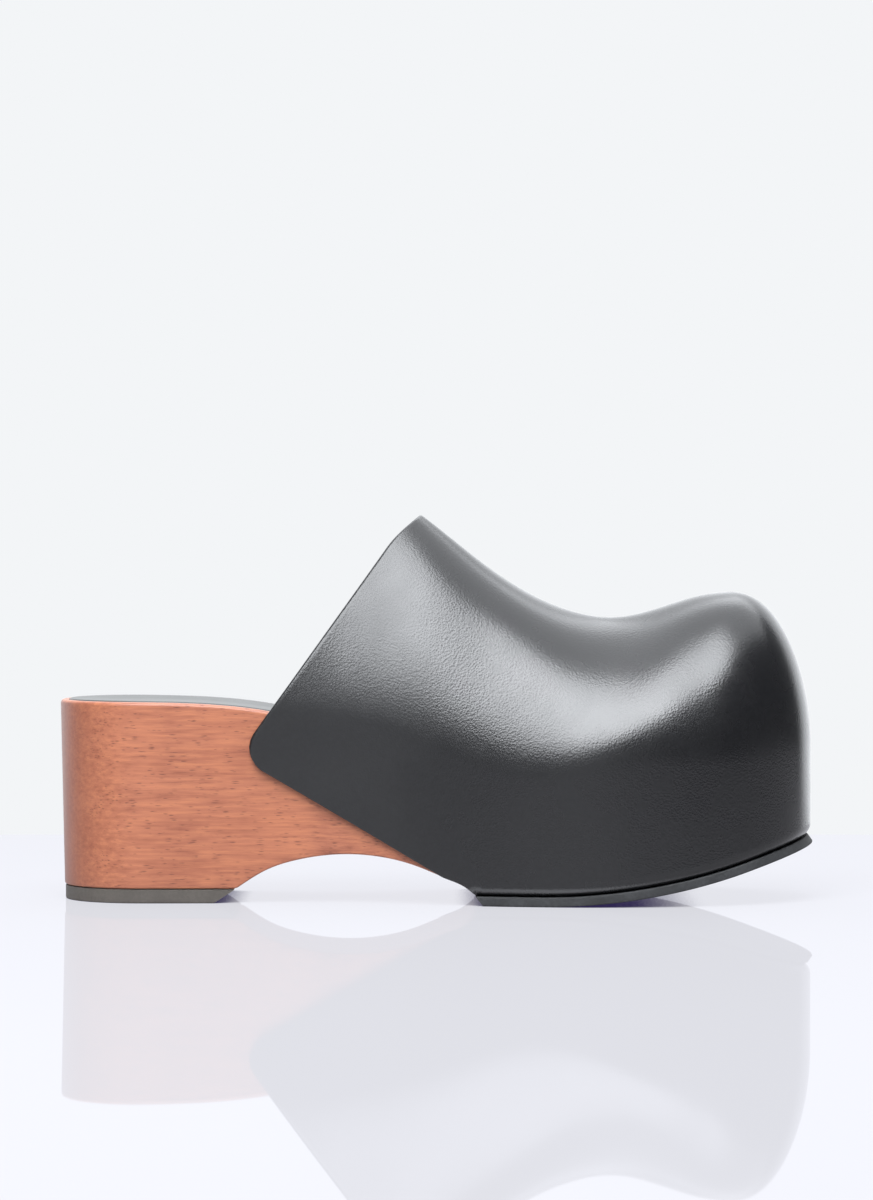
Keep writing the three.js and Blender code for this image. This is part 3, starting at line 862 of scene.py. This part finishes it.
class CLOG_OT_wood(bpy.types.Operator):
    """Build the wooden sole: heel, arched waist and platform in one block, with a recess for the insole"""

    bl_idname = "clog.make_wood"
    bl_label = "Wooden sole"

    def execute(self, context):
        sizes = context.scene.clog_sizes
        last = Last(sizes)
        lower_edge = 0.7 * MM
        count = 240
        rings = []
        side_x = last.loop(0, count)[:, 0]
        low = last.bottom(side_x) + last.bottom_round
        wall_top = last.wall(side_x) * last.crown(np.maximum(side_x, last.heel_end))

        def add(inset, height):
            drop = np.clip((wall_top - height) / (wall_top - low), 0, 1)
            taper = last.HEEL_TAPER * last.heel_share(side_x) * drop
            rings.append((last.loop(last.cover + taper + inset, count), height))

        def underside(x, lip):
            ground = np.where(x < 0, sizes.lift + last.FIT, last.outsole_top(x) + last.FIT + lip)
            return np.maximum(ground, last.tunnel(x))

        # The platform's foot stands inside the leather that is turned in
        foot_inset = last.LASTING + last.FIT - last.cover
        foot_x = last.loop(last.cover + foot_inset, count)[:, 0]
        add(foot_inset, underside(foot_x, 0))
        add(foot_inset, underside(foot_x, last.cover))
        edge_x = last.loop(last.cover, count)[:, 0]
        under = underside(edge_x, last.cover)
        for inward, up in quarter(5):
            add(lower_edge * inward, under + lower_edge * up)
        top = last.footbed(edge_x)
        begin = under + lower_edge
        for share in np.linspace(0, 1, 14)[1:-1]:
            add(0, begin + (top - sizes.wood_edge - begin) * share)
        for down, inward in quarter(7):
            add(sizes.wood_edge * inward, top - sizes.wood_edge * down)
        # The recess for the insole has a softened edge
        rim = last.footbed(last.loop(last.cover + BARE_RIM, count)[:, 0])
        add(BARE_RIM - 0.4 * MM, rim)
        add(BARE_RIM - 0.1 * MM, rim - 0.08 * MM)
        add(BARE_RIM, rim - 0.35 * MM)
        add(BARE_RIM, rim + SOCK_PROUD - sizes.insole)
        wood = mahogany(context.scene.clog_colours.wood)
        piece = closed_piece("mahogany_sole", rings, lid_faces, wood)
        seat(piece, "wooden_sole")
        return {"FINISHED"}


class CLOG_OT_outsole(bpy.types.Operator):
    """Build the rubber outsole under the platform, sprung up at the toe"""

    bl_idname = "clog.make_outsole"
    bl_label = "Forefoot outsole"

    def execute(self, context):
        sizes = context.scene.clog_sizes
        last = Last(sizes)
        inset = 0.8 * MM
        lean = 2 * MM
        edge = 0.45 * MM
        stretch_from = last.toe_end - TOE_ROUNDING[0]
        tip = sizes.shoe_length / 2
        shares = np.linspace(0, 1, 150)
        arch_x = np.linspace(last.along(0.5), last.arch_rows[0][-1], 300)
        rings = []

        def add(inward, level):
            """Adds the outline at this height, cut off behind where the arch comes down to it"""
            start = last.p_of(np.interp(-level, -last.arch(arch_x), arch_x)) + inward
            p = start + (last.end() - start) * shares
            x, outer, _ = last.edge(p, -1)
            inner = last.edge(p, 1)[1]
            points = np.vstack([np.stack([x, outer], 1), np.stack([x, inner], 1)[-2::-1]])
            points = moved_left(points, inset + inward)
            reach = tip - lean * level / sizes.outsole - stretch_from - inward
            now = TOE_ROUNDING[0] - inset - inward
            points[:, 0] += np.maximum(0, points[:, 0] - stretch_from) * (reach / now - 1)
            points[0, 0] = points[-1, 0] = last.x_of(start)
            rings.append((points, last.spring(points[:, 0]) + level))

        for inward, up in quarter(5):
            add(edge * inward, edge * up)
        for level in np.linspace(edge, sizes.outsole - edge, 4)[1:-1]:
            add(0, level)
        for down, inward in quarter(5):
            add(edge * inward, sizes.outsole - edge * down)
        rubber = moulded_rubber("dark_sheet_rubber", context.scene.clog_colours.outsole, "#232425")
        piece = closed_piece("rubber_outsole", rings, strip_faces, rubber)
        seat(piece, "forefoot_outsole")
        return {"FINISHED"}


def strip_faces(begin, size):
    """Faces right across a ring that starts and ends at one straight side"""
    faces = []
    for i in range(size // 2 - 1):
        faces.append((begin + i, begin + i + 1, begin + size - i - 2, begin + size - i - 1))
    middle = size // 2
    faces.append((begin + middle - 1, begin + middle, begin + middle + 1))
    return faces


class CLOG_OT_lift(bpy.types.Operator):
    """Build the rubber lift under the heel, flush with the wood"""

    bl_idname = "clog.make_lift"
    bl_label = "Heel lift"

    def execute(self, context):
        sizes = context.scene.clog_sizes
        last = Last(sizes)
        edge = 0.5 * MM
        shares = np.linspace(0, 1, 120)
        arch_x = np.linspace(last.arch_rows[0][0], last.along(0.35), 300)
        rings = []

        def add(inward, level):
            """Adds the outline at this height, cut off in front where the arch has risen to it"""
            stop = last.p_of(np.interp(level, last.arch(arch_x), arch_x)) - inward
            x, outer, _ = last.edge(stop * shares, -1)
            inner = last.edge(stop * shares, 1)[1]
            points = np.vstack([np.stack([x, inner], 1)[::-1], np.stack([x, outer], 1)[1:]])
            points = moved_left(points, last.cover + last.HEEL_TAPER + inward)
            points[0, 0] = points[-1, 0] = last.x_of(stop)
            rings.append((points, np.full(len(points), level)))

        for inward, up in quarter(5):
            add(edge * inward, edge * up)
        for level in np.linspace(edge, sizes.lift - edge / 2, 4)[1:]:
            add(0, level)
        add(edge / 2, sizes.lift)
        rubber = moulded_rubber("grey_brown_sheet_rubber", context.scene.clog_colours.lift, "#4c4742")
        piece = closed_piece("rubber_heel_lift", rings, strip_faces, rubber)
        seat(piece, "heel_lift")
        return {"FINISHED"}


class CLOG_OT_insole(bpy.types.Operator):
    """Build the leather-covered sock in the wood's recess, its middle slightly hollow"""

    bl_idname = "clog.make_insole"
    bl_label = "Insole"

    def execute(self, context):
        sizes = context.scene.clog_sizes
        last = Last(sizes)
        edge = 0.7 * MM
        dish = 0.9 * MM
        dish_reach = 17 * MM
        rings = []

        def add(inset, drop):
            ring = last.loop(last.cover + BARE_RIM + last.FIT + inset)
            rings.append((ring, last.footbed(ring[:, 0]) + SOCK_PROUD - drop))

        add(0, sizes.insole - last.FIT)
        for down, inward in quarter(6):
            add(edge * inward, edge * down)
        for step in np.linspace(0, 1, 9)[1:]:
            add(edge + step * dish_reach, dish * float(smooth(step, 0, 1)))
        leather = sock_leather(context.scene.clog_colours.insole)
        piece = closed_piece("leather_insole", rings, lid_faces, leather)
        seat(piece, "insole")
        return {"FINISHED"}


def aim(thing, target):
    """Turns a light or camera at target so that its -Z looks there"""
    x, y, z = np.array(target) - np.array(thing.location)
    up = math.atan2(z, math.hypot(x, y))
    thing.rotation_euler = (math.pi / 2 + up, 0, math.atan2(y, x) - math.pi / 2)


def add_softbox(name, place, target, size, brightness, roll=0.0):
    """Rectangular studio light. Its brightness is per area, as the gleam on the leather shows it."""
    light = bpy.data.lights.new(name, "AREA")
    light.shape = "RECTANGLE"
    light.size, light.size_y = size
    light.energy = brightness * math.pi * size[0] * size[1]
    light.color = linear("#f8fbff")
    box = bpy.data.objects.new(name, light)
    box.visible_camera = False
    box.location = place
    aim(box, target)
    box.rotation_euler.rotate_axis("Z", math.radians(roll))
    bpy.context.scene.collection.objects.link(box)


def studio_floor_material(colour):
    """White acrylic table, lit from below and polished. It glows evenly and mirrors faintly.

    Where the sole stands close over it, a painted shadow turns the glow a deep violet.
    """
    material, tree = new_material("polished_white_acrylic")
    # Painted shadow: ambient occlusion within 10 mm of the sole mixes the glow's colour towards deep violet
    painted_shadow_ao = add_node(tree, "AmbientOcclusion", {"Distance": 10 * MM}, out="AO", samples=8)
    clear = add_node(tree, "MapRange", {"Value": painted_shadow_ao, "From Min": 0.16, "From Max": 0.44})
    glow = {SHARE: clear, FIRST: opaque("#3a3060"), SECOND: opaque("#f4f4fb")}
    glow = add_node(tree, "Mix", glow, out=MIXED, data_type="RGBA")
    glow = add_node(tree, "Emission", {"Color": glow, "Strength": 0.79})
    body = add_node(tree, "BsdfDiffuse", {"Color": opaque(colour)})
    body = add_node(tree, "MixShader", {0: 0.07, 1: glow, 2: body})
    mirror = add_node(tree, "BsdfGlossy", {"Color": opaque("#fbfbff"), "Roughness": 0.015})
    polished = add_node(tree, "MixShader", {0: 0.12, 1: body, 2: mirror})
    add_node(tree, "OutputMaterial", {"Surface": polished})
    return material


class CLOG_OT_stage(bpy.types.Operator):
    """Build the table, the lights, the backdrop's glow and the camera"""

    bl_idname = "clog.make_stage"
    bl_label = "Photo studio"

    def execute(self, context):
        scene = context.scene
        far_edge = 0.314
        half_width = 3.0
        near = -0.8
        thick = 0.03
        corners = [(-half_width, near), (half_width, near), (half_width, far_edge), (-half_width, far_edge)]
        points = [(x, y, z) for z in (-thick, 0) for x, y in corners]
        faces = [(3, 2, 1, 0), (4, 5, 6, 7), (0, 1, 5, 4), (1, 2, 6, 5), (2, 3, 7, 6), (3, 0, 4, 7)]
        floor = new_piece("studio_table", points, faces, [studio_floor_material(scene.clog_colours.floor)])

        world = bpy.data.worlds.new("pale_backdrop")
        scene.world = world
        world.use_nodes = True
        tree = world.node_tree
        tree.nodes.clear()
        # The backdrop is seen pale from everywhere, while the dark half of the studio lights the clog
        backdrop = add_node(tree, "Background", {"Color": opaque("#f3f5f7"), "Strength": 1.0})
        dim = add_node(tree, "Background", {"Color": opaque("#eef2f8"), "Strength": 0.15})
        seen = add_node(tree, "LightPath", out="Is Camera Ray")
        sky = add_node(tree, "MixShader", {0: seen, 1: dim, 2: backdrop})
        add_node(tree, "OutputWorld", {"Surface": sky})

        # The key softbox is brighter in front of its lamp
        add_softbox("key_softbox", (-0.158, -0.67, 0.926), (0.001, -0.049, 0.033), (1.065, 0.669), 9.6, 63)
        add_softbox("key_lamp", (-0.12, -0.74, 0.885), (0.04, -0.118, -0.009), (0.644, 0.536), 4.2, 63)
        add_softbox("ceiling_glow", (0.35, 0.4, 1.5), (0.35, 0.4, 0.0), (1.9, 2.0), 2.25)
        add_softbox("backdrop_glow", (-0.9, 1.3, 1.0), (-0.9, 0.0, 1.0), (5.2, 3.2), 1.6)
        add_softbox("front_card", (-0.4, -2.2, 0.0), (-0.4, 0.0, 0.0), (1.3, 1.6), 0.5)

        camera = bpy.data.cameras.new("photo_camera")
        camera.lens = 138.96
        camera.sensor_width = 36
        viewer = bpy.data.objects.new("photo_camera", camera)
        viewer.location = (0, -1.663, 0.14)
        downwards = 1.15
        viewer.rotation_euler = (math.radians(90 - downwards), 0, 0)
        scene.collection.objects.link(viewer)
        scene.camera = viewer
        scene.view_settings.view_transform = "Standard"
        return {"FINISHED"}


OPERATORS = (CLOG_OT_wood, CLOG_OT_upper, CLOG_OT_outsole, CLOG_OT_lift, CLOG_OT_insole, CLOG_OT_stage)


class CLOG_PT_panel(bpy.types.Panel):
    """Sizes, colours and pieces of the clog"""

    bl_label = "Wooden clog"
    bl_idname = "CLOG_PT_panel"
    bl_space_type = "VIEW_3D"
    bl_region_type = "UI"
    bl_category = "Clog"

    def draw(self, context):
        for group in (context.scene.clog_sizes, context.scene.clog_colours):
            box = self.layout.box()
            for name in group.__annotations__:
                box.prop(group, name)
        for operator in OPERATORS:
            self.layout.operator(operator.bl_idname)


CLASSES = (ClogSizes, ClogColours, *OPERATORS, CLOG_PT_panel)


def register():
    for item in CLASSES:
        bpy.utils.register_class(item)
    bpy.types.Scene.clog_sizes = bpy.props.PointerProperty(type=ClogSizes)
    bpy.types.Scene.clog_colours = bpy.props.PointerProperty(type=ClogColours)


def unregister():
    del bpy.types.Scene.clog_colours
    del bpy.types.Scene.clog_sizes
    for item in reversed(CLASSES):
        bpy.utils.unregister_class(item)


def main():
    register()
    bpy.ops.clog.make_wood()
    bpy.ops.clog.make_upper()
    bpy.ops.clog.make_outsole()
    bpy.ops.clog.make_lift()
    bpy.ops.clog.make_insole()
    bpy.ops.clog.make_stage()


if __name__ == "__main__":
    main()
